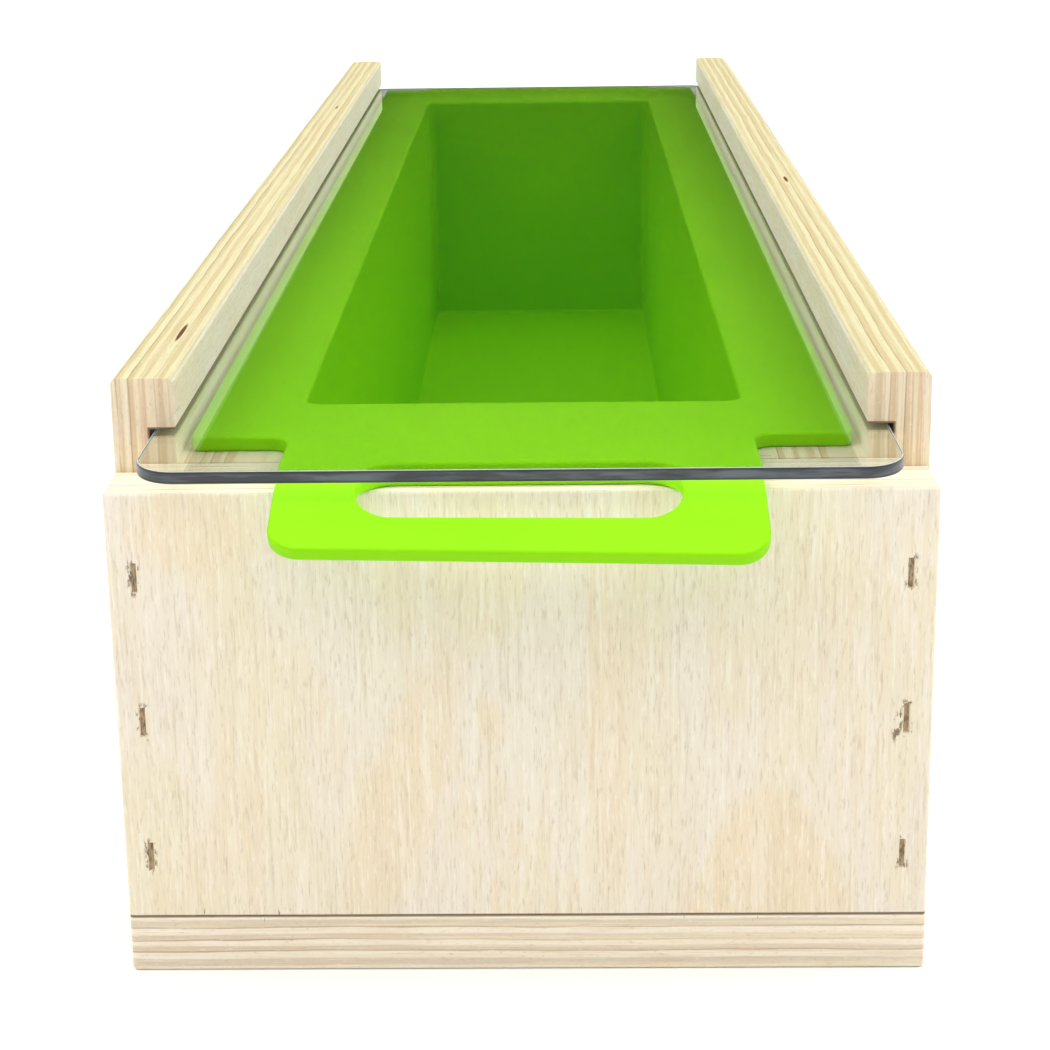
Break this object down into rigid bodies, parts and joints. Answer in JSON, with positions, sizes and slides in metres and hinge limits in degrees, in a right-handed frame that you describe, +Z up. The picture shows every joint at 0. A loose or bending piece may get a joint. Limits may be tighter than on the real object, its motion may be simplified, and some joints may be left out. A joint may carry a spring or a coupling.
{
  "type": "soap loaf mould",
  "caption": "Long plywood soap loaf mould with a pull-tab silicone liner and a clear sliding acrylic lid.",
  "frame": {"origin": "centre of the base plate's underside", "axes": "+X to the right seen from the front, +Y from the front panel to the rear panel, +Z up"},
  "size_m": [0.156, 0.5228, 0.1185],
  "materials": {
    "plywood": "bare sanded birch or poplar plywood, pale veneer with striped edges",
    "silicone": "lime green moulded silicone, satin",
    "acrylic": "clear cast acrylic sheet with a dark polished edge",
    "staple_wire": "dull galvanised wire"
  },
  "bodies": {
    "box": {"base_plate": "plywood", "front_panel": "plywood", "rear_panel": "plywood", "left_wall": "plywood", "right_wall": "plywood", "left_support_board": "plywood", "right_support_board": "plywood", "front_support_board": "plywood", "rear_support_board": "plywood", "silicone_liner": "silicone", "front_left_staples": "staple_wire", "front_right_staples": "staple_wire", "rear_left_staples": "staple_wire", "rear_right_staples": "staple_wire", "base_left_staples": "staple_wire", "base_right_staples": "staple_wire", "base_front_staples": "staple_wire", "base_rear_staples": "staple_wire"},
    "lid": {"acrylic_lid": "acrylic"}
  },
  "joints": [
    {"name": "lid_slide", "type": "slide", "parent": "box", "child": "lid", "axis": [0, 1, 0], "range_m": [-0.43, 0.46]}
  ]
}
